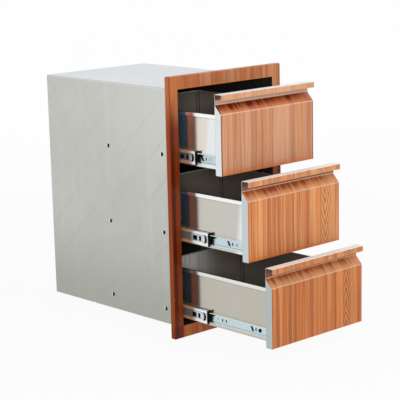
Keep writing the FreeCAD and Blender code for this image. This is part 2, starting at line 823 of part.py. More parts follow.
def ball_cages(stage, name, row):
    """Thin strips that space the balls, above and below the rails on both sides."""
    body = new_body(f"{stage}_cages_{name}")
    across, up, race = cage_places(stage)
    sketch = new_sketch(body, "XZ", "strips")
    for side in SIDES.values():
        for turn in HEIGHTS:
            rectangle(
                sketch,
                f"{side}*({across} - cage_wide/2)",
                f"{turn}*{up} - cage_strip/2",
                f"{side}*({across} + cage_wide/2)",
                f"{turn}*{up} + cage_strip/2",
            )
    pad(body, sketch, "strips", "cage_length", flip=True)
    sketch = new_sketch(body, "XY", "pockets")
    for side in SIDES.values():
        for number in range(BALLS_PER_STRIP):
            along = f"(cage_length/2 + {number - (BALLS_PER_STRIP - 1) / 2}*ball_pitch)"
            square(sketch, f"{side}*{across}", along, f"{race} - 2*ball_gap + 2*ball_pocket")
    pocket(body, sketch, "pockets", "frame_width", both_ways=True)
    place(body, y=cage_front(stage, name), z=rail_level(row))


def faceted_ball(diameter, centre):
    """A ball as twenty triangles with their corners on its surface."""
    golden = (1 + 5**0.5) / 2
    reach = diameter / 2 / (1 + golden**2) ** 0.5
    corners = [
        FreeCAD.Vector(*point) * reach
        for short in (-1, 1)
        for long in (-golden, golden)
        for point in ((0, short, long), (short, long, 0), (long, 0, short))
    ]
    faces = [
        Part.Face(Part.makePolygon([*trio, trio[0]]))
        for trio in itertools.combinations(corners, 3)
        if all(one.distanceToPoint(other) < 2.1 * reach for one, other in itertools.combinations(trio, 2))
    ]
    return Part.makeSolid(Part.makeShell(faces)).translated(centre)


def cage_balls(stage, name, row):
    piece = doc.addObject("Part::Feature", f"{stage}_balls_{name}")
    piece.Label = f"{stage}_balls_{name}"
    across, up, race = (value(expression) for expression in cage_places(stage))
    middle = value("cage_length") / 2
    pitch = value("ball_pitch")
    balls = [
        faceted_ball(
            race - 2 * value("ball_gap"),
            FreeCAD.Vector(side * across, middle + (number - (BALLS_PER_STRIP - 1) / 2) * pitch, turn * up),
        )
        for side in SIDES.values()
        for turn in HEIGHTS
        for number in range(BALLS_PER_STRIP)
    ]
    piece.Shape = Part.makeCompound(balls)
    place(piece, y=cage_front(stage, name), z=rail_level(row))
    pieces.append(piece)


face_frame()
carcass_wrap()
carcass_bottom()
carcass_back()
for side_name in SIDES:
    for end in ("front", "rear"):
        post(end, side_name)
slide_bolts()
for name, row in ROWS.items():
    slide_bumpers(name, row)
    drawer_bolts(name, row)
    for stage in ("outer", "inner"):
        ball_cages(stage, name, row)
        cage_balls(stage, name, row)
    drawer_front(name, row)
    drawer_liner(name, row)
    drawer_box(name, row)
    drawer_back(name, row)
    for side_name in SIDES:
        cabinet_rail(name, row, side_name)
        middle_rail(name, row, side_name)
        drawer_rail(name, row, side_name)

doc.recompute()
for thing in doc.Objects:
    if any(state in ("Invalid", "Error") for state in thing.State):
        raise RuntimeError(f"{thing.Label} did not rebuild")
for piece in pieces:
    if piece.Shape.isNull() or not piece.Shape.isValid():
        raise RuntimeError(f"{piece.Label} has no valid shape")
for piece in pieces:
    piece.Shape.exportStep(f"parts/{piece.Label}.step")
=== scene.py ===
import math

import bmesh
import bpy
from mathutils import Matrix, Vector


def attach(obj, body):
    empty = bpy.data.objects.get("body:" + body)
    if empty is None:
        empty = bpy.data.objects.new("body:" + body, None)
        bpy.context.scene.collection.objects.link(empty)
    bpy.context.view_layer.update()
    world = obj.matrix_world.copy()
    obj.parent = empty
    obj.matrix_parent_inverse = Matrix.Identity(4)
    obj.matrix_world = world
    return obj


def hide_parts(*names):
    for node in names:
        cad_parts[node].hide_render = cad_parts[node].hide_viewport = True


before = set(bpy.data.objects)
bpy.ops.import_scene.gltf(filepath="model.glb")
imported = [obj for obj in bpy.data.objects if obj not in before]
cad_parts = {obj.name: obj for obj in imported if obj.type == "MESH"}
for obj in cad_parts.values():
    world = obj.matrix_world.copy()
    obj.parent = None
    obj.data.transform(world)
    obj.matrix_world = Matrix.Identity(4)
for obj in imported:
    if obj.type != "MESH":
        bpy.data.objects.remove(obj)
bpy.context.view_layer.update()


def box_of(name):
    """The least and the greatest corner of a CAD node, in metres."""
    corners = [tuple(corner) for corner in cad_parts[name].bound_box]
    return [tuple(end(parts) for parts in zip(*corners)) for end in (min, max)]


# The frame, and the carcass behind it, in metres.
FRAME_LOW, FRAME_HIGH = box_of("face_frame")
HALF_FRAME = FRAME_HIGH[0]
FRAME_HEIGHT = FRAME_HIGH[2]
FRONT_PLANE = FRAME_LOW[1]
HALF_OPENING = 0.178
OPENING_FOOT = 0.033
OPENING_HEAD = 0.676
SHEET = 0.001
BACK_HIGH = box_of("carcass_back")[1]
HALF_CARCASS = BACK_HIGH[0] + SHEET
CARCASS_BACK = BACK_HIGH[1]
CARCASS_HEAD = BACK_HIGH[2] + SHEET
CARCASS_FOOT = box_of("carcass_wrap")[0][2]

# The rows of drawers, and how far each front's face is pulled out at rest. Its lip stands before it.
ROWS = {"bottom": 0, "middle": 1, "top": 2}
FRONT_LOWS = {row: box_of(f"drawer_front_{row}")[0] for row in ROWS}
FIRST_DRAWER = FRONT_LOWS["bottom"][2]
DRAWER_STEP = FRONT_LOWS["middle"][2] - FIRST_DRAWER
LIP_REACH = 0.0031
PULLS = {row: FRONT_PLANE - LIP_REACH - low[1] for row, low in FRONT_LOWS.items()}

# A drawer front. Heights are from its foot, and a tone fades in between the two values of a pair.
HALF_FRONT = -FRONT_LOWS["bottom"][0]
FACE_HEIGHT = 0.159
NECK_FOOT = 0.1825
UNDER_HOOK = (0.1846, 0.1858)
HOOK_SHADE_START = (0.1925, 0.1975)
LIP_FOOT = 0.1962
CROWN_START = (0.204, 0.207)
HOOK_INSIDE = {"height": (0.1840, 0.1860), "depth": (0.014, 0.010)}

# A drawer box. Heights are from its front's foot, and depths from its front's face.
BOX_LOW, BOX_HIGH = box_of("drawer_box_bottom")
HALF_BOX = box_of("drawer_rail_bottom_right")[0][0]
BOX_FOOT = BOX_LOW[2] - FIRST_DRAWER
BOX_RIM = BOX_HIGH[2] - FIRST_DRAWER
BOX_FRONT = BOX_LOW[1] - FRONT_PLANE + PULLS["bottom"]
BOX_DEPTH = BOX_HIGH[1] - BOX_LOW[1]
HEM_DROP = 0.010
RAIL_LOW, RAIL_HIGH = box_of("middle_rail_bottom_left")
SLIDE_LEVEL = (RAIL_LOW[2] + RAIL_HIGH[2]) / 2 - FIRST_DRAWER

# The screws on the carcass, along its depth, and in a drawer's wall.
SIDE_BOLTS = (0.05275, 0.27675)
SIDE_SCREW_RADIUS = 0.0056
DRAWER_SCREW_RADIUS = {"top": 0.0039, "middle": 0.0039, "bottom": 0.0052}
DRAWER_SCREW_PLANE = 0.1622
FIRST_DRAWER_SCREW = 0.055
DRAWER_SCREW_STEP = 0.250
HEAD_RISE = 0.0019
RECESS_FLOOR = 0.0010
HEAD_SIDES = 32
HEAD_DOME = ((1.0, 0.35), (0.93, 0.62), (0.80, 0.84), (0.64, 0.96), (0.56, 1.0))


def drawer_foot(row):
    return FIRST_DRAWER + ROWS[row] * DRAWER_STEP


def slide_height(row):
    return drawer_foot(row) + SLIDE_LEVEL


def tone(red, green, blue):
    """A colour given as it looks on a screen, 0 to 255, as the light values that shaders take."""
    def linear(part):
        part /= 255
        return part / 12.92 if part <= 0.04045 else ((part + 0.055) / 1.055) ** 2.4

    return (linear(red), linear(green), linear(blue), 1.0)


def darker(colour, share):
    """A screen colour brought down to a share of itself."""
    return tone(*[share * part for part in colour])


def tones_of(colours):
    return {part: tone(*colour) for part, colour in colours.items()}


# Node helpers.


class Tree:
    """Adds nodes to a shader tree and joins them."""

    def __init__(self, tree):
        self.tree = tree

    def add(self, kind, inputs=None, **settings):
        node = self.tree.nodes.new(kind)
        for name, setting in settings.items():
            setattr(node, name, setting)
        for name, source in (inputs or {}).items():
            self.feed(node.inputs[name], source)
        return node

    def feed(self, socket, source):
        if isinstance(source, bpy.types.NodeSocket):
            self.tree.links.new(source, socket)
        else:
            socket.default_value = source

    def math(self, operation, first, second=0.0, third=0.0):
        node = self.add("ShaderNodeMath", operation=operation)
        for socket, source in zip(node.inputs, (first, second, third)):
            self.feed(socket, source)
        return node.outputs[0]

    def product(self, first, *others):
        for other in others:
            first = self.math("MULTIPLY", first, other)
        return first

    def greatest(self, first, *others):
        for other in others:
            first = self.math("MAXIMUM", first, other)
        return first

    def measure(self, operation, *vectors):
        """The length of a vector, or the distance between two."""
        node = self.add("ShaderNodeVectorMath", operation=operation)
        for socket, vector in zip(node.inputs, vectors):
            self.feed(socket, vector)
        return node.outputs["Value"]

    def ramp(self, source, low, high, to_low=0.0, to_high=1.0):
        """Goes smoothly from to_low to to_high while the source goes from low to high."""
        node = self.add("ShaderNodeMapRange", interpolation_type="SMOOTHSTEP")
        for name, setting in (
            ("Value", source),
            ("From Min", low),
            ("From Max", high),
            ("To Min", to_low),
            ("To Max", to_high),
        ):
            self.feed(node.inputs[name], setting)
        return node.outputs["Result"]

    def blend(self, factor, first, second, mode="MIX"):
        node = self.add("ShaderNodeMix", data_type="RGBA", blend_type=mode)
        colours = [socket for socket in node.inputs if socket.type == "RGBA"]
        self.feed(node.inputs["Factor"], factor)
        self.feed(colours[0], first)
        self.feed(colours[1], second)
        return next(socket for socket in node.outputs if socket.type == "RGBA")

    def tint(self, colour, shade, mask, share=1.0, mode="MIX"):
        """Lays a shade over a colour where the mask is, up to the given share."""
        return self.blend(self.math("MULTIPLY", mask, share), colour, shade, mode)

    def parts(self, vector):
        node = self.add("ShaderNodeSeparateXYZ", {"Vector": vector})
        return node.outputs["X"], node.outputs["Y"], node.outputs["Z"]

    def noise(self, vector, scale, detail=2.0, roughness=0.5):
        inputs = {"Vector": vector, "Scale": scale, "Detail": detail, "Roughness": roughness}
        return self.add("ShaderNodeTexNoise", inputs).outputs["Fac"]

    def streaks(self, across, along, per_metre, apart=0.0, detail=2.0, roughness=0.5):
        """Noise drawn out into streaks, with as many to the metre across and along as per_metre says."""
        many, few = per_metre
        parts = {"X": self.math("MULTIPLY", across, many), "Y": apart, "Z": self.math("MULTIPLY", along, few)}
        place = self.add("ShaderNodeCombineXYZ", parts).outputs["Vector"]
        return self.noise(place, 1.0, detail, roughness)


def new_group(name, inputs, outputs):
    """Starts a shader group. Sockets are given as name: (kind, start value)."""
    tree = bpy.data.node_groups.new(name, "ShaderNodeTree")
    kinds = {"value": "NodeSocketFloat", "colour": "NodeSocketColor", "vector": "NodeSocketVector"}
    for socket_name, (kind, start) in inputs.items():
        socket = tree.interface.new_socket(name=socket_name, in_out="INPUT", socket_type=kinds[kind])
        if start is not None:
            socket.default_value = start
    for socket_name, kind in outputs.items():
        tree.interface.new_socket(name=socket_name, in_out="OUTPUT", socket_type=kinds[kind])
    net = Tree(tree)
    entry = net.add("NodeGroupInput").outputs
    leave = net.add("NodeGroupOutput").inputs
    return net, entry, leave


def use(net, group, **inputs):
    node = net.add("ShaderNodeGroup", node_tree=group)
    for name, source in inputs.items():
        net.feed(node.inputs[name.replace("_", " ")], source)
    return node.outputs


def make_brushing():
    """Fine lines drawn out in one direction, and the soft clouds of handled sheet metal."""
    net, entry, leave = new_group(
        "brushing",
        {"Place": ("vector", None), "Stretch": ("vector", (1, 1, 1)), "Cloud size": ("value", 6.0)},
        {"Lines": "value", "Clouds": "value", "Smears": "value"},
    )
    stretched = net.add("ShaderNodeVectorMath", operation="MULTIPLY")
    net.feed(stretched.inputs[0], entry["Place"])
    net.feed(stretched.inputs[1], entry["Stretch"])
    net.feed(leave["Lines"], net.noise(stretched.outputs["Vector"], 1.0, 3.0, 0.6))
    net.feed(leave["Clouds"], net.noise(entry["Place"], entry["Cloud size"], 3.0, 0.55))
    smear = net.noise(entry["Place"], net.math("MULTIPLY", entry["Cloud size"], 4.0), 5.0, 0.65)
    net.feed(leave["Smears"], net.ramp(smear, 0.45, 0.75))
    return net.tree


def make_edge_line():
    """A soft line where Place passes At, Width wide to each side, and a mask of what lies beyond it."""
    net, entry, leave = new_group(
        "edge_line",
        {"Place": ("value", 0.0), "At": ("value", 0.0), "Width": ("value", 0.001)},
        {"Line": "value", "Beyond": "value"},
    )
    away = net.math("SUBTRACT", entry["Place"], entry["At"])
    net.feed(leave["Line"], net.ramp(net.math("ABSOLUTE", away), entry["Width"], 0.0))
    net.feed(leave["Beyond"], net.ramp(away, 0.0, entry["Width"]))
    return net.tree


def nested_vees(net, entry, straight, z):
    """The figure's room on the film, and the rings of its vees in it."""
    away = net.math("SUBTRACT", straight, net.math("ADD", entry["Figure across"], entry["Shift"]))
    distance = net.math("ABSOLUTE", away)
    stir = net.streaks(away, z, (24.0, 17.0))
    climb = net.product(z, entry["Figure sense"], 34.0)
    spread = net.math("POWER", net.math("MULTIPLY", distance, 100.0), 1.15)
    vees = net.math("MULTIPLY_ADD", stir, 2.0, net.math("SUBTRACT", climb, spread))
    rings = net.math("MULTIPLY_ADD", net.math("SINE", net.math("MULTIPLY", vees, 2 * math.pi)), 0.5, 0.5)
    figured = net.product(net.ramp(away, -0.018, -0.009), net.ramp(away, 0.038, 0.022), entry["Figure"])
    ringed = net.product(net.ramp(rings, 0.35, 0.95), net.ramp(distance, 0.032, 0.012, 0.2, 0.8))
    return figured, net.product(figured, ringed)


def make_wood_print():
    """The printed wood film: crisp bands, narrow stripes, fine lines and one tall figure of nested vees."""
    net, entry, leave = new_group(
        "wood_print",
        {
            "Place": ("vector", None),
            "Shift": ("value", 0.0),
            "Side share": ("value", 0.0),
            "Contrast": ("value", 1.0),
            "Figure across": ("value", 0.1),
            "Figure sense": ("value", 1.0),
            "Figure": ("value", 0.0),
            "Pale": ("colour", (0.6, 0.3, 0.15, 1)),
            "Warm": ("colour", (0.5, 0.2, 0.08, 1)),
            "Mauve": ("colour", (0.3, 0.12, 0.08, 1)),
            "Dark": ("colour", (0.15, 0.05, 0.03, 1)),
        },
        {"Colour": "colour", "Grain": "value", "Streaks": "value"},
    )
    x, y, z = net.parts(entry["Place"])
    straight = net.math("ADD", net.math("MULTIPLY_ADD", y, entry["Side share"], x), entry["Shift"])
    across = net.math("MULTIPLY_ADD", net.streaks(straight, z, (12.0, 5.0)), 0.008, straight)

    def stripes(per_metre, faint, full, detail=2.0, roughness=0.5, seed=0.0):
        return net.ramp(net.streaks(across, z, per_metre, seed, detail, roughness), faint, full)

    bands = stripes((38.0, 0.6), 0.455, 0.545, detail=1.0)
    boards = stripes((88.0, 1.0), 0.50, 0.60, detail=1.0, seed=3.7)
    narrow = stripes((190.0, 2.0), 0.42, 0.66, seed=8.1)
    light = stripes((330.0, 3.0), 0.60, 0.70, detail=1.0, seed=5.3)
    fine = stripes((560.0, 6.0), 0.42, 0.72, roughness=0.6)
    dashes = stripes((900.0, 40.0), 0.60, 0.72, roughness=0.7)
    figured, ringed = nested_vees(net, entry, straight, z)

    colour = net.blend(bands, entry["Warm"], entry["Pale"])
    for shade, mask, share in (
        ("Mauve", net.product(boards, entry["Contrast"]), 0.72),
        ("Mauve", net.product(narrow, entry["Contrast"]), 0.44),
        ("Pale", light, 0.6),
        ("Pale", figured, 0.65),
        ("Mauve", ringed, 1.0),
        ("Dark", ringed, 0.22),
        ("Dark", fine, 0.30),
        ("Dark", dashes, 0.28),
    ):
        colour = net.tint(colour, entry[shade], mask, share)
    net.feed(leave["Colour"], colour)
    net.feed(leave["Grain"], net.greatest(net.math("MULTIPLY", fine, 0.6), dashes))
    net.feed(leave["Streaks"], net.math("MULTIPLY_ADD", boards, 0.5, net.math("MULTIPLY", narrow, 0.5)))
    return net.tree


BRUSHING = make_brushing()
EDGE_LINE = make_edge_line()
WOOD_PRINT = make_wood_print()


def edge_line(net, place, at, width):
    return use(net, EDGE_LINE, Place=place, At=at, Width=width)["Line"]


def new_material(name):
    material = bpy.data.materials.new(name)
    material.use_nodes = True
    net = Tree(material.node_tree)
    shader = material.node_tree.nodes["Principled BSDF"]
    place = net.add("ShaderNodeTexCoord").outputs["Object"]
    return material, net, shader, place


def raise_surface(net, shader, height, strength, distance):
    bump = net.add("ShaderNodeBump", {"Strength": strength, "Distance": distance, "Height": height})
    net.feed(shader.inputs["Normal"], bump.outputs["Normal"])


def facing(net):
    """The three parts of the surface's own direction."""
    return net.parts(net.add("ShaderNodeNewGeometry").outputs["Normal"])


def seen_directly(net):
    """One for what the camera sees, also in metal and through glass, and nothing for light on the object."""
    path = net.add("ShaderNodeLightPath").outputs
    return net.greatest(path["Is Camera Ray"], path["Is Glossy Ray"], path["Is Transmission Ray"])


def sheen(net, shader, grain, specular, coat):
    """The film's low gloss, with its printed grain just felt."""
    raise_surface(net, shader, grain, 0.12, 0.0004)
    shader.inputs["Specular IOR Level"].default_value = specular
    shader.inputs["Coat Weight"].default_value = coat
    shader.inputs["Coat Roughness"].default_value = 0.2


# Wood film.

PRINT_TONES = ("Pale", "Warm", "Mauve", "Dark")
FRAME_TONES = {
    "Pale": (226, 154, 110),
    "Warm": (212, 126, 76),
    "Mauve": (178, 98, 62),
    "Dark": (112, 46, 22),
}
# Each row's tones carry painted light: the print tones are lit and shaded copies of one film, and the others
# paint the light and the hook's shadow on the slope, the shade inside the hook, the light on the neck and
# along the side bends, the light on the bare steel and a glint on the hook's top.
FRONT_TONES = {
    "top": {
        "Pale": (240, 180, 138),
        "Warm": (231, 162, 115),
        "Mauve": (200, 128, 96),
        "Dark": (126, 62, 34),
        "slope": (238, 182, 134),
        "shade": (146, 68, 18),
        "hollow": (96, 36, 16),
        "neck": (236, 200, 182),
        "edge": (120, 44, 18),
        "steel": (236, 241, 243),
        "crown": (255, 255, 255),
    },
    "middle": {
        "Pale": (250, 174, 108),
        "Warm": (240, 152, 88),
        "Mauve": (192, 108, 66),
        "Dark": (116, 52, 24),
        "slope": (254, 230, 206),
        "shade": (202, 137, 92),
        "hollow": (122, 58, 32),
        "neck": (226, 190, 170),
        "edge": (214, 108, 46),
        "steel": (207, 217, 220),
        "crown": (255, 255, 255),
    },
    "bottom": {
        "Pale": (238, 150, 82),
        "Warm": (219, 127, 62),
        "Mauve": (160, 86, 44),
        "Dark": (104, 46, 20),
        "slope": (255, 238, 216),
        "shade": (212, 148, 103),
        "hollow": (168, 104, 78),
        "neck": (230, 186, 162),
        "edge": (206, 104, 48),
        "steel": (187, 196, 195),
        "crown": (254, 252, 250),
    },
}

# How strongly the light changes each front's film, and how high the glow at its foot reaches.
FRONT_SHARES = {
    "top": {"glow_height": 0.020, "glow": 0.6, "border": 0.85, "paling": 0.08, "under": 0.25, "lip": 0.4},
    "middle": {"glow_height": 0.014, "glow": 0.7, "border": 0.7, "paling": 0.35, "under": 0.85, "lip": 0.12},
    "bottom": {"glow_height": 0.005, "glow": 0.5, "border": 0.7, "paling": 0.4, "under": 0.9, "lip": 0.12},
}


def frame_film():
    """Wood film on the face frame, darker on the stiles, which stand in the drawers' shade."""
    material, net, shader, place = new_material("frame_wood_film")
    x, _, z = net.parts(place)
    across, to_back, _ = facing(net)
    film = use(
        net,
        WOOD_PRINT,
        Place=place,
        Shift=0.31,
        Side_share=0.9,
        Contrast=0.55,
        **tones_of(FRAME_TONES),
    )
    side = net.math("ABSOLUTE", x)
    stile = net.product(
        net.ramp(side, HALF_OPENING - 0.002, HALF_OPENING + 0.001),
        net.ramp(z, OPENING_HEAD - 0.008, OPENING_HEAD - 0.116),
    )
    flank = net.ramp(net.math("ABSOLUTE", across), 0.6, 0.85)
    shade = net.blend(flank, tone(166, 116, 58), tone(210, 146, 56))
    colour = net.tint(film["Colour"], shade, stile, mode="MULTIPLY")
    # Painted light: the stiles' inner returns painted bright orange, a glow that the rails mirror.
    lit_inner_return = net.product(flank, net.ramp(side, HALF_OPENING + 0.0015, HALF_OPENING + 0.0005))
    colour = net.tint(colour, tone(222, 138, 66), lit_inner_return, 0.85)
    # Painted shade: a darker band down each stile's front, where the drawers' shade falls.
    stile_shade_band = net.product(
        net.ramp(side, HALF_FRAME - 0.0180, HALF_FRAME - 0.0135),
        net.ramp(side, HALF_FRAME - 0.0020, HALF_FRAME - 0.0045),
        stile,
        net.ramp(to_back, -0.4, -0.8),
    )
    colour = net.tint(colour, tone(142, 120, 104), stile_shade_band, 0.75, "MULTIPLY")
    bar = net.ramp(z, OPENING_FOOT + 0.002, OPENING_FOOT - 0.002)
    colour = net.tint(colour, tone(224, 200, 172), bar, mode="MULTIPLY")
    corner = edge_line(net, side, at=HALF_FRAME - 0.0027, width=0.0026)
    colour = net.tint(colour, tone(96, 34, 16), corner, 0.75)
    # Painted light: a bright orange band along the edge at the opening's head.
    head = edge_line(net, z, at=OPENING_HEAD, width=0.0050)
    lit_head_edge = net.product(head, net.ramp(side, HALF_OPENING + 0.004, HALF_OPENING))
    colour = net.tint(colour, tone(232, 128, 62), lit_head_edge, 0.7)
    behind = net.ramp(to_back, 0.3, 0.8)
    colour = net.tint(colour, tone(176, 178, 174), behind)
    net.feed(shader.inputs["Base Color"], colour)
    net.feed(shader.inputs["Roughness"], net.math("MULTIPLY_ADD", film["Grain"], 0.16, 0.34))
    net.feed(shader.inputs["Metallic"], net.math("MULTIPLY", behind, 0.3))
    sheen(net, shader, film["Grain"], specular=0.18, coat=0.02)
    return material


def bordered_face(net, colour, side, height, tones, shares):
    """The face's painted glow at its foot, painted light along its two side bends, and its two darker side
    borders.
    """
    glow = net.ramp(height, shares["glow_height"], 0.001, 0.0, shares["glow"])
    colour = net.blend(glow, colour, tone(232, 112, 40))
    # Painted light along each side bend, in each row's edge tone.
    border = edge_line(net, side, at=HALF_FRONT - 0.0018, width=0.0040)
    colour = net.tint(colour, tones["edge"], border, shares["border"])
    rim = edge_line(net, side, at=HALF_FRONT, width=0.0016)
    return net.tint(colour, tones["Dark"], rim, 0.6)


def folded_film(net, colour, streaks, x, height, depth, tones, shares):
    """The slope above the face, with painted light and the hook's painted shadow; the neck under the hook,
    painted pale with painted shade towards the hook; the crease between them, with a painted highlight; and
    the lip, painted lighter.
    """
    on_lip = net.ramp(depth, 0.0, -0.0015)
    behind_lip = net.math("SUBTRACT", 1.0, on_lip)
    on_neck = net.product(net.ramp(height, NECK_FOOT, NECK_FOOT + 0.0012), behind_lip)
    over_crease = use(net, EDGE_LINE, Place=height, At=FACE_HEIGHT + 0.0012, Width=0.0012)["Beyond"]
    on_slope = net.product(over_crease, net.math("SUBTRACT", behind_lip, on_neck))

    # Painted light and the hook's painted shadow on the slope: paled by the row's share, dark at its top,
    # streaked, lighter at the right end.
    climb = net.ramp(height, FACE_HEIGHT + 0.001, NECK_FOOT)
    streaked = net.math("MULTIPLY_ADD", net.math("ADD", streaks, -0.35), 0.75, climb)
    shaded = net.product(net.ramp(streaked, 0.30, 1.05), net.ramp(x, 0.150, 0.110, 0.45, 1.0))
    paled = net.blend(shares["paling"], colour, tone(248, 204, 166))
    sloped = net.blend(1.0, paled, net.blend(shaded, tones["slope"], tones["shade"]), "MULTIPLY")
    colour = net.blend(on_slope, colour, sloped)

    # Painted shade: the neck painted towards the hook's shade, with a painted shadow under the lip.
    hollow = net.blend(net.ramp(height, *HOOK_SHADE_START), tones["neck"], tones["hollow"])
    hollow = net.blend(net.ramp(height, *UNDER_HOOK, 0.0, shares["under"]), hollow, tone(70, 30, 16))
    colour = net.tint(colour, hollow, on_neck, 0.85)
    # Painted highlight along the crease.
    crease = edge_line(net, height, at=FACE_HEIGHT + 0.0004, width=0.0019)
    colour = net.tint(colour, tone(246, 208, 172), crease, 0.8)
    # The lip painted lighter, as painted light.
    colour = net.tint(colour, tone(250, 190, 138), on_lip, shares["lip"])
    lip_foot = net.product(edge_line(net, height, at=LIP_FOOT, width=0.0020), on_lip)
    return net.tint(colour, tone(252, 206, 160), lip_foot, 0.3)


def bare_steel(net, colour, row, place, height, depth, tones):
    """Brushed steel on the flanges, the back and the hook's top, which is the brightest: painted white there
    as a painted glint. Each row's steel tone is painted light, and the inside of the hook is painted in
    shade.
    """
    across, to_back, upward = facing(net)
    flank = net.ramp(net.math("ABSOLUTE", across), 0.75, 0.9)
    crown = net.product(net.ramp(upward, 0.25, 0.45), net.ramp(height, *CROWN_START))
    facing_back = net.ramp(to_back, 0.3, 0.8)
    in_hook = net.product(net.ramp(height, *HOOK_INSIDE["height"]), net.ramp(depth, *HOOK_INSIDE["depth"]))
    # Painted shade inside the hook.
    colour = net.tint(colour, tones["hollow"], net.product(facing_back, in_hook))
    rear = net.product(facing_back, net.math("SUBTRACT", 1.0, in_hook))
    bare = net.greatest(flank, crown, rear)
    brushed = use(net, BRUSHING, Place=place, Stretch=(60.0, 900.0, 900.0))
    steel = net.blend(brushed["Lines"], darker(FRONT_TONES[row]["steel"], 0.95), tones["steel"])
    steel = net.blend(crown, steel, tones["crown"])
    metallic = net.math("MULTIPLY_ADD", bare, 0.9, net.math("MULTIPLY", crown, -0.9))
    return net.blend(bare, colour, steel), metallic


def front_film(row, shift, contrast, figure, figure_across=0.118, figure_sense=1.0):
    """Wood film on a drawer front, with bare bright steel on its side flanges, hook top and back."""
    material, net, shader, place = new_material(f"front_wood_film_{row}")
    x, y, z = net.parts(place)
    height = net.math("SUBTRACT", z, drawer_foot(row))
    depth = net.math("SUBTRACT", y, FRONT_PLANE - PULLS[row])
    tones = tones_of(FRONT_TONES[row])
    shares = FRONT_SHARES[row]
    film = use(
        net,
        WOOD_PRINT,
        Place=place,
        Shift=shift,
        Contrast=contrast,
        Figure_across=figure_across,
        Figure_sense=figure_sense,
        Figure=figure,
        **{part: tones[part] for part in PRINT_TONES},
    )
    colour = bordered_face(net, film["Colour"], net.math("ABSOLUTE", x), height, tones, shares)
    colour = folded_film(net, colour, film["Streaks"], x, height, depth, tones, shares)
    colour, metallic = bare_steel(net, colour, row, place, height, depth, tones)
    net.feed(shader.inputs["Base Color"], colour)
    net.feed(shader.inputs["Metallic"], metallic)
    net.feed(shader.inputs["Roughness"], net.math("MULTIPLY_ADD", film["Grain"], 0.14, 0.36))
    sheen(net, shader, film["Grain"], specular=0.3, coat=0.05)
    return material


# Sheet steel of the carcass.

# Small marks on the left side: along, level, share and colour.
SIDE_MARKS = (
    (0.507, 0.641, 0.45, (96, 96, 90)),
    (0.403, 0.649, 0.45, (96, 96, 90)),
    (0.363, 0.0320, 1.0, (255, 255, 255)),
)


def outer_satin(net, brushed, place, x, y, z):
    """The carcass as it shows from outside: wiped and hung streaks, painted light towards its head, darker
    towards its foot, a painted highlight along the fold, and a lid painted bright as painted light.
    """
    colour = net.blend(brushed["Clouds"], tone(182, 184, 177), tone(200, 202, 195))
    colour = net.tint(colour, tone(214, 216, 210), brushed["Lines"], 0.35)
    colour = net.tint(colour, tone(220, 221, 215), brushed["Smears"], 0.25)
    slanted = net.math("ADD", y, z)
    wiped = net.streaks(slanted, net.math("SUBTRACT", y, z), (34.0, 1.0), x, detail=3.0, roughness=0.6)
    colour = net.blend(net.ramp(wiped, 0.50, 0.80, 0.0, 0.24), colour, tone(160, 161, 154))
    hung = net.streaks(y, z, (30.0, 1.5), x, detail=3.0, roughness=0.6)
    colour = net.blend(net.ramp(hung, 0.50, 0.80, 0.0, 0.22), colour, tone(224, 225, 220))
    # Painted light towards the head and the front.
    high = net.product(net.ramp(z, 0.25, 0.68), net.ramp(y, 0.45, 0.0, 0.35, 1.0))
    colour = net.tint(colour, tone(230, 230, 224), high, 0.5)
    colour = net.tint(colour, tone(160, 161, 151), net.ramp(z, 0.30, 0.03), 0.62)
    # Painted highlight along the fold between side and top.
    fold = edge_line(net, z, at=CARCASS_HEAD - 0.0007, width=0.0040)
    colour = net.tint(colour, tone(242, 244, 244), fold, 0.7)
    # The top painted brighter, as painted light.
    lid = net.blend(brushed["Clouds"], tone(212, 217, 221), tone(228, 232, 235))
    colour = net.tint(colour, lid, net.ramp(z, CARCASS_HEAD - 0.0009, CARCASS_HEAD - 0.0003))
    by_frame = edge_line(net, y, at=0.0, width=0.0080)
    colour = net.tint(colour, tone(232, 240, 244), by_frame, 0.7)
    for along, level, share, dot in SIDE_MARKS:
        away = net.measure("DISTANCE", place, (-HALF_CARCASS, along, level))
        colour = net.blend(net.ramp(away, 0.0035, 0.0010, 0.0, share), colour, tone(*dot))
    return colour


def inner_shade(net, brushed, x, y, z):
    """The inside painted dark as painted shade, with blue painted beside each box for the drawers' polished
    left walls to mirror as a painted reflection.
    """
    in_row = net.math("MODULO", net.math("SUBTRACT", z, FIRST_DRAWER), DRAWER_STEP)
    blue = net.product(
        net.ramp(x, -0.180, -0.184),
        net.ramp(y, 0.14, 0.06),
        net.ramp(in_row, BOX_FOOT - 0.004, BOX_FOOT),
        net.ramp(in_row, BOX_RIM - 0.007, BOX_RIM - 0.011),
    )
    inner = net.blend(brushed["Clouds"], tone(44, 42, 39), tone(56, 53, 49))
    return net.tint(inner, tone(24, 100, 158), blue)


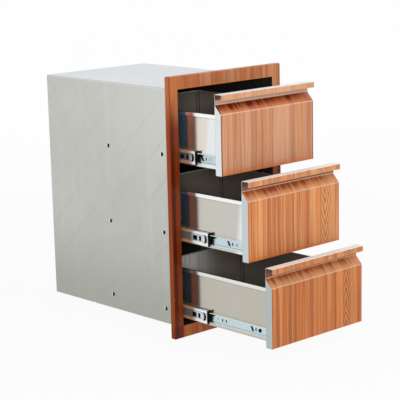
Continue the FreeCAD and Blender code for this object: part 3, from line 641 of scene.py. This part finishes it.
def carcass_steel():
    """Satin sheet steel outside, painted dark where the cabinet closes it in, as painted shade."""
    material, net, shader, place = new_material("carcass_satin_steel")
    x, y, z = net.parts(place)
    brushed = use(net, BRUSHING, Place=place, Stretch=(700.0, 5.0, 700.0), Cloud_size=3.2)
    outside = net.greatest(
        net.ramp(net.math("ABSOLUTE", x), HALF_CARCASS - 0.0008, HALF_CARCASS - 0.0004),
        net.ramp(z, CARCASS_HEAD - 0.0007, CARCASS_HEAD - 0.0002),
        net.ramp(z, CARCASS_FOOT + 0.0007, CARCASS_FOOT + 0.0003),
        net.ramp(y, CARCASS_BACK - 0.00065, CARCASS_BACK - 0.00025),
    )
    colour = net.blend(outside, inner_shade(net, brushed, x, y, z), outer_satin(net, brushed, place, x, y, z))
    net.feed(shader.inputs["Base Color"], colour)
    net.feed(shader.inputs["Metallic"], net.math("MULTIPLY_ADD", outside, 0.65, 0.1))
    net.feed(shader.inputs["Roughness"], net.math("MULTIPLY_ADD", brushed["Smears"], 0.10, 0.42))
    raise_surface(net, shader, brushed["Lines"], 0.10, 0.0002)
    return material


# Sheet steel of the drawers.

# Each row's tones are painted light: lit and shaded copies of one polished sheet, with a painted shine at the
# front end, a painted highlight on the rim and the inside painted dark as painted shade.
WALL_TONES = {
    "top": {
        "plain": (228, 222, 206),
        "near": (238, 242, 246),
        "rim": (250, 251, 252),
        "inside": (160, 150, 138),
    },
    "middle": {
        "plain": (190, 187, 178),
        "near": (230, 235, 240),
        "rim": (246, 247, 247),
        "inside": (136, 126, 115),
    },
    "bottom": {
        "plain": (176, 170, 155),
        "near": (184, 180, 168),
        "rim": (228, 228, 224),
        "inside": (136, 127, 115),
    },
}
# Depths between which the painted shine at a wall's front end fades out.
PAINTED_SHINE_DEPTHS = {"top": (0.064, 0.046), "middle": (0.046, 0.026), "bottom": (0.032, 0.018)}
SEAM_TONE = tone(24, 20, 16)


def drawer_steel(row):
    """Polished drawer sheet: mirror-bright outside with a painted shine whitening its front end, a painted
    highlight on its rim, painted shade under the hem and behind the rail, and painted dark inside the box as
    painted shade.
    """
    material, net, shader, place = new_material(f"drawer_polished_steel_{row}")
    x, y, z = net.parts(place)
    side = net.math("ABSOLUTE", x)
    height = net.math("SUBTRACT", z, drawer_foot(row))
    depth = net.math("SUBTRACT", y, FRONT_PLANE - PULLS[row] + BOX_FRONT)
    tones = tones_of(WALL_TONES[row])
    brushed = use(net, BRUSHING, Place=place, Stretch=(900.0, 4.0, 900.0), Cloud_size=5.0)
    # Painted shine: the wall's front end painted whiter, standing in for reflections.
    painted_shine = net.ramp(net.math("MULTIPLY_ADD", height, 0.12, depth), *PAINTED_SHINE_DEPTHS[row])
    colour = net.blend(painted_shine, tones["plain"], tones["near"])
    colour = net.tint(colour, tone(214, 208, 194), brushed["Clouds"], 0.35)
    colour = net.tint(colour, tone(236, 238, 240), brushed["Lines"], 0.25)
    # Painted highlight on the hem and along the rim.
    hem = net.ramp(side, HALF_BOX + 0.0008, HALF_BOX + 0.0016)
    rim = net.greatest(hem, net.ramp(height, BOX_RIM - 0.0014, BOX_RIM - 0.0006))
    colour = net.tint(colour, tones["rim"], rim)
    # Painted shadow under the hem.
    hem_shadow = edge_line(net, height, at=BOX_RIM - HEM_DROP - 0.0012, width=0.0026)
    colour = net.tint(colour, tone(120, 112, 102), hem_shadow, 0.45)
    # Painted shade behind the rail, so its slots show black.
    rail_shadow = edge_line(net, height, at=SLIDE_LEVEL, width=0.0130)
    colour = net.tint(colour, tone(14, 15, 17), net.ramp(rail_shadow, 0.02, 0.1))
    outside = net.greatest(
        net.ramp(side, HALF_BOX - 0.0005, HALF_BOX - 0.0001),
        rim,
        net.ramp(height, BOX_FOOT + 0.0006, BOX_FOOT + 0.0001),
    )
    # The inside painted dark, as painted shade.
    inner = net.blend(brushed["Clouds"], darker(WALL_TONES[row]["inside"], 0.88), tones["inside"])
    seam = edge_line(net, depth, at=BOX_DEPTH - 0.0115, width=0.0030)
    inner = net.tint(inner, SEAM_TONE, seam, 0.85)
    net.feed(shader.inputs["Base Color"], net.blend(outside, inner, colour))
    net.feed(shader.inputs["Metallic"], net.math("MULTIPLY_ADD", outside, 0.85, 0.1))
    net.feed(shader.inputs["Roughness"], net.math("MULTIPLY_ADD", outside, -0.30, 0.46))
    raise_surface(net, shader, brushed["Lines"], 0.06, 0.0001)
    return material


def inner_sheet(row):
    """Sheet behind a front and at the back of its box, painted dark as painted shade, brushed upright, with a
    painted highlight along its top edge; the bottom drawer's back has painted light on its left part.
    """
    material, net, shader, place = new_material(f"drawer_inner_sheet_{row}")
    x, y, z = net.parts(place)
    inside = WALL_TONES[row]["inside"]
    height = net.math("SUBTRACT", z, drawer_foot(row))
    brushed = use(net, BRUSHING, Place=place, Stretch=(420.0, 420.0, 5.0), Cloud_size=6.0)
    colour = net.blend(brushed["Clouds"], darker(inside, 0.92), tone(*inside))
    colour = net.tint(colour, tone(150, 146, 140), brushed["Lines"], 0.12)
    if row == "bottom":
        lit = net.product(net.ramp(x, 0.09, -0.08), net.ramp(y, 0.05, 0.08))
        streaks = net.ramp(net.streaks(x, z, (110.0, 3.0), y), 0.30, 0.60)
        colour = net.tint(colour, net.blend(streaks, tone(228, 224, 217), tone(255, 255, 255)), lit)
    seam = edge_line(net, net.math("ABSOLUTE", x), at=HALF_BOX - 0.0011, width=0.0040)
    colour = net.tint(colour, SEAM_TONE, seam, 0.85)
    # Painted highlight along the top edge.
    rim = net.ramp(height, BOX_RIM - 0.0045, BOX_RIM - 0.0025)
    colour = net.tint(colour, tone(255, 255, 255), rim)
    net.feed(shader.inputs["Base Color"], colour)
    shader.inputs["Metallic"].default_value = 0.1
    net.feed(shader.inputs["Roughness"], net.math("MULTIPLY_ADD", brushed["Lines"], 0.12, 0.46))
    raise_surface(net, shader, brushed["Lines"], 0.08, 0.0001)
    return material


# Slides, screws and bumpers.


def pressed_strips(net, shader, colour, place, strips, mirrors_frame):
    """A rail's two raised strips, painted bright as a painted highlight, each with a dark line of painted
    shade along it. Gives the colour and the strips.
    """
    _, y, z = net.parts(place)
    from_first = net.math("SUBTRACT", z, FIRST_DRAWER + SLIDE_LEVEL - DRAWER_STEP / 2)
    level = net.math("SUBTRACT", net.math("MODULO", from_first, DRAWER_STEP), DRAWER_STEP / 2)
    top, foot = strips
    raised = net.greatest(net.ramp(level, top, top + 0.0012), net.ramp(level, foot, foot - 0.0012))
    bright = tone(238, 241, 240)
    # Painted shade and a painted reflection of the wood where the rail leaves the frame.
    if mirrors_frame:
        by_frame = net.ramp(y, -0.050, -0.034, 0.0, 0.8)
        colour = net.blend(by_frame, colour, tone(84, 74, 62))
        bright = net.blend(by_frame, bright, tone(214, 152, 88))
        net.feed(shader.inputs["Metallic"], net.math("MULTIPLY_ADD", by_frame, -0.7, 1.0))
    colour = net.blend(raised, colour, bright)
    for at in (top - 0.0006, foot + 0.0006):
        line = edge_line(net, level, at=at, width=0.0013)
        colour = net.tint(colour, tone(96, 106, 110), line, 0.75)
    return colour, raised


def zinc_plate(name, low, high, strips=None, mirrors_frame=False):
    """Bright zinc with faint drawing lines. A pressed rail has two raised strips, at levels from its middle,
    and one that mirrors the frame is painted with the wood's glow, a painted reflection, and with painted
    shade where it leaves the frame."""
    material, net, shader, place = new_material(name)
    brushed = use(net, BRUSHING, Place=place, Stretch=(600.0, 8.0, 1200.0), Cloud_size=14.0)
    colour = net.blend(brushed["Clouds"], tone(*low), tone(*high))
    colour = net.tint(colour, tone(236, 242, 242), brushed["Lines"], 0.3)
    height = brushed["Lines"]
    shader.inputs["Metallic"].default_value = 1.0
    if strips:
        colour, raised = pressed_strips(net, shader, colour, place, strips, mirrors_frame)
        height = net.math("MULTIPLY_ADD", raised, 3.0, height)
    net.feed(shader.inputs["Base Color"], colour)
    net.feed(shader.inputs["Roughness"], net.math("MULTIPLY_ADD", brushed["Smears"], 0.12, 0.24))
    raise_surface(net, shader, height, 0.12, 0.0001)
    return material


def black_nylon():
    """Moulded black nylon with a fine matt grain."""
    material, net, shader, place = new_material("bumper_black_nylon")
    cloud = net.noise(place, 90.0, 2.0)
    net.feed(shader.inputs["Base Color"], net.blend(cloud, tone(3, 3, 4), tone(9, 9, 11)))
    shader.inputs["Specular IOR Level"].default_value = 0.06
    net.feed(shader.inputs["Roughness"], net.math("MULTIPLY_ADD", cloud, 0.16, 0.5))
    raise_surface(net, shader, net.noise(place, 2600.0, 2.0), 0.2, 0.0001)
    return material


def turned_metal(name, low, high, roughness, recess=None, half_shaded=False):
    """Bolt and ball metal: small marks over an even plate. A head is painted dark in its recess as painted
    shade, up to that distance from the cabinet's middle, and a half-shaded one is painted dark on its front
    half too, as painted shade beside its bright painted highlight."""
    material, net, shader, place = new_material(name)
    x, y, _ = net.parts(place)
    marks = net.noise(place, 900.0, 3.0, 0.6)
    colour = net.blend(marks, tone(*low), tone(*high))
    if half_shaded:
        # Painted shade on each side screw's front half.
        first, second = SIDE_BOLTS
        from_bolt = net.math("SUBTRACT", net.math("MODULO", y, second - first), first)
        colour = net.tint(colour, tone(22, 19, 16), net.ramp(from_bolt, 0.0012, 0.0002))
    if recess:
        # Painted shade in the cross recess.
        recess_shade = net.ramp(net.math("ABSOLUTE", x), recess, recess - 0.0002)
        colour = net.tint(colour, tone(16, 16, 17), recess_shade)
    net.feed(shader.inputs["Base Color"], colour)
    shader.inputs["Metallic"].default_value = 1.0
    net.feed(shader.inputs["Roughness"], net.math("MULTIPLY_ADD", marks, 0.15, roughness))
    raise_surface(net, shader, marks, 0.1, 0.0001)
    return material


FRAME_FILM = frame_film()
FRONT_FILMS = {
    "top": front_film("top", shift=0.0, contrast=0.95, figure=0.0),
    "middle": front_film("middle", shift=0.83, contrast=1.0, figure=0.95),
    "bottom": front_film(
        "bottom", shift=1.61, contrast=1.0, figure=0.9, figure_across=0.109, figure_sense=-1.0
    ),
}
CARCASS_STEEL = carcass_steel()
DRAWER_STEEL = {row: drawer_steel(row) for row in ROWS}
INNER_SHEET = {row: inner_sheet(row) for row in ROWS}
RAIL_ZINC = {
    "drawer": zinc_plate("drawer_rail_zinc", (180, 204, 211), (200, 220, 226), (0.0108, -0.0108)),
    "middle": zinc_plate(
        "middle_rail_zinc", (186, 196, 198), (222, 228, 228), (0.0108, -0.0085), mirrors_frame=True
    ),
    "cabinet": zinc_plate("cabinet_rail_zinc", (170, 182, 188), (206, 216, 220)),
}
# The left posts are painted blue for the drawers' polished walls to mirror as a painted navy reflection, and
# the right ones are painted dark as painted shade.
POST_ZINC = {
    "left": zinc_plate("post_zinc", (62, 100, 138), (78, 120, 158)),
    "right": zinc_plate("post_zinc_shaded", (18, 19, 20), (30, 31, 32)),
}
CAGE_STEEL = zinc_plate("cage_steel", (150, 138, 112), (190, 178, 150))
BUMPER_NYLON = black_nylon()
BALL_STEEL = turned_metal("ball_steel", (190, 194, 198), (224, 228, 230), 0.12)
SIDE_SCREW = turned_metal(
    "side_screw_steel", (232, 232, 230), (250, 250, 249), 0.2, HALF_CARCASS + RECESS_FLOOR, half_shaded=True
)
BRIGHT_SCREW = turned_metal(
    "drawer_screw_steel", (186, 198, 204), (216, 226, 230), 0.2, DRAWER_SCREW_PLANE + RECESS_FLOOR
)
BLACK_SCREW = turned_metal("drawer_screw_black", (6, 7, 8), (16, 17, 20), 0.4)


def dress(names, material):
    for name in names:
        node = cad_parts[name]
        if not node.material_slots:
            node.data.materials.append(material)
        for slot in node.material_slots:
            slot.material = material


dress(["face_frame"], FRAME_FILM)
dress(["carcass_wrap", "carcass_bottom", "carcass_back"], CARCASS_STEEL)
for side, zinc in POST_ZINC.items():
    dress([f"slide_post_front_{side}", f"slide_post_rear_{side}"], zinc)
dress(["slide_bolts"], SIDE_SCREW)
for row in ROWS:
    dress([f"drawer_front_{row}"], FRONT_FILMS[row])
    dress([f"drawer_box_{row}"], DRAWER_STEEL[row])
    dress([f"drawer_liner_{row}", f"drawer_back_{row}"], INNER_SHEET[row])
    dress([f"drawer_bolts_{row}"], BLACK_SCREW)
    dress([f"slide_bumpers_{row}"], BUMPER_NYLON)
    for rail, zinc in RAIL_ZINC.items():
        dress([f"{rail}_rail_{row}_left", f"{rail}_rail_{row}_right"], zinc)
    dress([f"outer_cages_{row}", f"inner_cages_{row}"], CAGE_STEEL)
    dress([f"outer_balls_{row}", f"inner_balls_{row}"], BALL_STEEL)


# Small hardware.


def pick(piece, parts, wanted):
    """Selects in edit mode only the faces or vertices that are wanted."""
    bpy.ops.mesh.select_mode(type={"faces": "FACE", "verts": "VERT"}[parts])
    bpy.ops.mesh.select_all(action="DESELECT")
    shape = bmesh.from_edit_mesh(piece.data)
    for part in getattr(shape, parts):
        if wanted(part):
            part.select_set(True)
    shape.select_flush_mode()
    bmesh.update_edit_mesh(piece.data)


def select_only(pieces):
    bpy.ops.object.select_all(action="DESELECT")
    for piece in pieces:
        piece.select_set(True)
    bpy.context.view_layer.objects.active = pieces[0]


def cut_cross(head, radius, rise):
    """Sinks a cross recess into the head's flat top."""
    edge = radius * 0.52
    step = 2 * math.pi / HEAD_SIDES
    bpy.ops.mesh.inset(thickness=radius * 0.04)

    def from_arm(corner):
        """How many corners of the flat top's edge lie between this one and the nearest arm's middle."""
        turn = round(math.atan2(corner.co.y, corner.co.x) / step) % 8
        on_edge = corner.co.z > rise * 0.99 and abs(corner.co.xy.length - edge) < radius * 0.015
        return min(turn, 8 - turn) if on_edge else 0

    # Corners off the arms are drawn in until they line up with the arms' sides.
    for count in (2, 3, 4):
        pull = math.sin(step) / math.sin(count * step)
        pick(head, "verts", lambda corner: from_arm(corner) == count)
        bpy.ops.transform.resize(value=(pull, pull, 1.0), center_override=(0, 0, rise))

    def is_cross(face):
        return face.normal.z > 0.9 and len(face.verts) == HEAD_SIDES and face.calc_center_median().z > 0

    pick(head, "faces", is_cross)
    bpy.ops.mesh.extrude_region_move(TRANSFORM_OT_translate={"value": (0, 0, -0.6 * rise)})
    bpy.ops.transform.resize(value=(0.75, 0.75, 1.0), center_override=(0, 0, 0.4 * rise))


def screw_head(radius, neck_radius, neck_length):
    """One domed head with a cross recess, looking up from the origin, with its neck below."""
    rim_height = HEAD_RISE * HEAD_DOME[0][1]
    bpy.ops.object.select_all(action="DESELECT")
    bpy.ops.mesh.primitive_cylinder_add(
        vertices=HEAD_SIDES, radius=radius, depth=rim_height, location=(0, 0, rim_height / 2)
    )
    head = bpy.context.object
    bpy.ops.object.transform_apply(location=True, rotation=True, scale=True)
    bpy.ops.object.mode_set(mode="EDIT")
    pick(head, "faces", lambda face: face.normal.z < -0.9)
    bpy.ops.mesh.inset(thickness=radius - neck_radius)
    bpy.ops.mesh.extrude_region_move(TRANSFORM_OT_translate={"value": (0, 0, -neck_length)})
    pick(head, "faces", lambda face: face.normal.z > 0.9)
    for (wide, low), (narrow, high) in zip(HEAD_DOME, HEAD_DOME[1:]):
        bpy.ops.mesh.inset(thickness=radius * (wide - narrow))
        bpy.ops.transform.translate(value=(0, 0, HEAD_RISE * (high - low)))
    cut_cross(head, radius, HEAD_RISE)
    bpy.ops.mesh.select_all(action="SELECT")
    bpy.ops.mesh.normals_make_consistent(inside=False)
    bpy.ops.object.mode_set(mode="OBJECT")
    bpy.ops.object.shade_smooth_by_angle(angle=math.radians(40))
    return head


def set_screws(head, name, places, material, node, body):
    """Copies the head to every place, looking away from the cabinet's middle, as one piece."""
    copies = []
    for place in places:
        outwards = Matrix.Rotation(math.copysign(math.pi / 2, place[0]), 4, "Y")
        screw = bpy.data.objects.new(name, head.data.copy())
        screw.data.transform(Matrix.Translation(place) @ outwards)
        bpy.context.scene.collection.objects.link(screw)
        copies.append(screw)
    bpy.data.objects.remove(head)
    select_only(copies)
    bpy.ops.object.join()
    screws = bpy.context.object
    screws.name = name
    screws.data.materials.append(material)
    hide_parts(node)
    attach(screws, body)


def on_both_sides(plane, alongs, levels):
    return [(side * plane, along, level) for side in (-1, 1) for along in alongs for level in levels]


def side_screws():
    """Twelve bright screws through the carcass's sides into the slides."""
    head = screw_head(SIDE_SCREW_RADIUS, neck_radius=0.0020, neck_length=0.0140)
    places = on_both_sides(HALF_CARCASS, SIDE_BOLTS, [slide_height(row) for row in ROWS])
    set_screws(head, "side_screws", places, SIDE_SCREW, "slide_bolts", "cabinet")


def drawer_screws(row):
    """Four screws in a drawer's walls. Those of the bottom drawer are wider and black."""
    head = screw_head(DRAWER_SCREW_RADIUS[row], neck_radius=0.0018, neck_length=0.0010)
    first = FRONT_PLANE + FIRST_DRAWER_SCREW - PULLS[row]
    places = on_both_sides(DRAWER_SCREW_PLANE, (first, first + DRAWER_SCREW_STEP), [slide_height(row)])
    finish = BLACK_SCREW if row == "bottom" else BRIGHT_SCREW
    node, body = f"drawer_bolts_{row}", f"drawer_{row}"
    set_screws(head, f"drawer_screws_{row}", places, finish, node, body)


def soft_bumpers(row):
    """The moulded bumpers of one row, with rounded edges."""
    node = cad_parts[f"slide_bumpers_{row}"]
    piece = bpy.data.objects.new(f"rounded_bumpers_{row}", node.data.copy())
    bpy.context.scene.collection.objects.link(piece)
    select_only([piece])
    bpy.ops.object.mode_set(mode="EDIT")
    bpy.ops.mesh.select_all(action="SELECT")
    bpy.ops.mesh.remove_doubles(threshold=0.000002)
    bpy.ops.mesh.dissolve_limited(angle_limit=math.radians(1))
    bpy.ops.object.mode_set(mode="OBJECT")
    bevel = piece.modifiers.new("rounding", "BEVEL")
    bevel.width = 0.0003
    bevel.segments = 2
    bevel.limit_method = "ANGLE"
    bevel.angle_limit = math.radians(40)
    bpy.ops.object.modifier_apply(modifier=bevel.name)
    bpy.ops.object.shade_smooth_by_angle(angle=math.radians(40))
    piece.data.materials.clear()
    piece.data.materials.append(BUMPER_NYLON)
    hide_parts(node.name)
    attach(piece, f"slides_{row}")


# Floor, light and camera.

FLOOR_RADIUS = 60.0
FLOOR_LEVEL = -0.0002
WORLD_LIGHT = 0.45

# The camera as it was fitted to the photograph, whose sizes are in pixels.
PICTURE_WIDTH = 400
PICTURE_CENTRE = (208.5427, 229.5843)
FOCAL_LENGTH = 1433.8855
CAMERA_TURNS = (-43.2234, 12.7513, -1.2443)
CAMERA_PLACE = {"right": -0.0767, "up": -0.1167, "back": 5.5350}
SENSOR_WIDTH = 36.0


def add_floor():
    """A white floor that keeps the unit's shadow close to it and fades into the background."""
    bpy.ops.object.select_all(action="DESELECT")
    bpy.ops.mesh.primitive_circle_add(
        vertices=96, radius=FLOOR_RADIUS, fill_type="NGON", location=(0, 0, FLOOR_LEVEL)
    )
    floor = bpy.context.object
    floor.name = "studio_floor"
    material, net, shader, place = new_material("pale_floor")
    shader.inputs["Base Color"].default_value = (0.9, 0.9, 0.9, 1)
    shader.inputs["Roughness"].default_value = 0.9
    shader.inputs["Specular IOR Level"].default_value = 0.0
    glow = net.add("ShaderNodeEmission", {"Color": (1, 1, 1, 1), "Strength": 1.0}).outputs["Emission"]
    share = net.ramp(net.measure("LENGTH", place), 0.8, 4.0, 0.93, 0.985)
    mix = net.add("ShaderNodeMixShader", {"Fac": net.product(seen_directly(net), share)})
    net.feed(mix.inputs[1], shader.outputs["BSDF"])
    net.feed(mix.inputs[2], glow)
    output = material.node_tree.nodes["Material Output"]
    net.feed(output.inputs["Surface"], mix.outputs["Shader"])
    floor.data.materials.append(material)


def light_world():
    """Soft light from all round, in front of a background that shows nearly white."""
    world = bpy.data.worlds.new("studio_world")
    bpy.context.scene.world = world
    world.use_nodes = True
    world.node_tree.nodes.clear()
    net = Tree(world.node_tree)
    soft = {"Color": (1, 1, 1, 1), "Strength": WORLD_LIGHT}
    white = {"Color": (0.985, 0.985, 0.985, 1), "Strength": 1.0}
    mix = net.add("ShaderNodeMixShader", {"Fac": seen_directly(net)})
    for socket, colour in zip(mix.inputs[1:], (soft, white)):
        net.feed(socket, net.add("ShaderNodeBackground", colour).outputs["Background"])
    output = net.add("ShaderNodeOutputWorld")
    net.feed(output.inputs["Surface"], mix.outputs["Shader"])


def add_lamp(name, place, target, size, power):
    data = bpy.data.lights.new(name, "AREA")
    data.shape = "SQUARE"
    data.size = size
    data.energy = power
    lamp = bpy.data.objects.new(name, data)
    bpy.context.scene.collection.objects.link(lamp)
    lamp.location = place
    lamp.rotation_euler = (Vector(target) - Vector(place)).to_track_quat("-Z", "Y").to_euler()


def add_camera():
    """Stands to the left of the front and a little above it, as in the photograph."""
    yaw, pitch, roll = (math.radians(turn) for turn in CAMERA_TURNS)
    back = Vector((math.sin(yaw) * math.cos(pitch), -math.cos(yaw) * math.cos(pitch), math.sin(pitch)))
    level = Vector((math.cos(yaw), math.sin(yaw), 0))
    rise = back.cross(level)
    right = math.cos(roll) * level + math.sin(roll) * rise
    up = math.cos(roll) * rise - math.sin(roll) * level
    away = CAMERA_PLACE["right"] * right + CAMERA_PLACE["up"] * up + CAMERA_PLACE["back"] * back
    place = Vector((0, FRONT_PLANE, FRAME_HEIGHT / 2)) + FRAME_HEIGHT * away
    data = bpy.data.cameras.new("camera")
    data.sensor_width = SENSOR_WIDTH
    data.lens = FOCAL_LENGTH / PICTURE_WIDTH * SENSOR_WIDTH
    data.shift_x = (PICTURE_WIDTH / 2 - PICTURE_CENTRE[0]) / PICTURE_WIDTH
    data.shift_y = (PICTURE_CENTRE[1] - PICTURE_WIDTH / 2) / PICTURE_WIDTH
    camera = bpy.data.objects.new("camera", data)
    bpy.context.scene.collection.objects.link(camera)
    turn = Matrix((right, up, back)).transposed().to_4x4()
    camera.matrix_world = Matrix.Translation(place) @ turn
    bpy.context.scene.camera = camera


side_screws()
for row in ROWS:
    drawer_screws(row)
    soft_bumpers(row)

add_floor()
light_world()
add_lamp("key_lamp", place=(1.5, -1.0, 3.1), target=(0, -0.1, 0.35), size=1.0, power=26.0)
add_lamp("front_lamp", place=(0.2, -4.2, 1.3), target=(0, -0.2, 0.35), size=2.0, power=8.0)
add_lamp("camera_side_lamp", place=(-2.75, -2.75, 1.25), target=(0, 0.0, 0.35), size=0.7, power=44.0)
add_camera()
bpy.context.scene.view_settings.view_transform = "Standard"
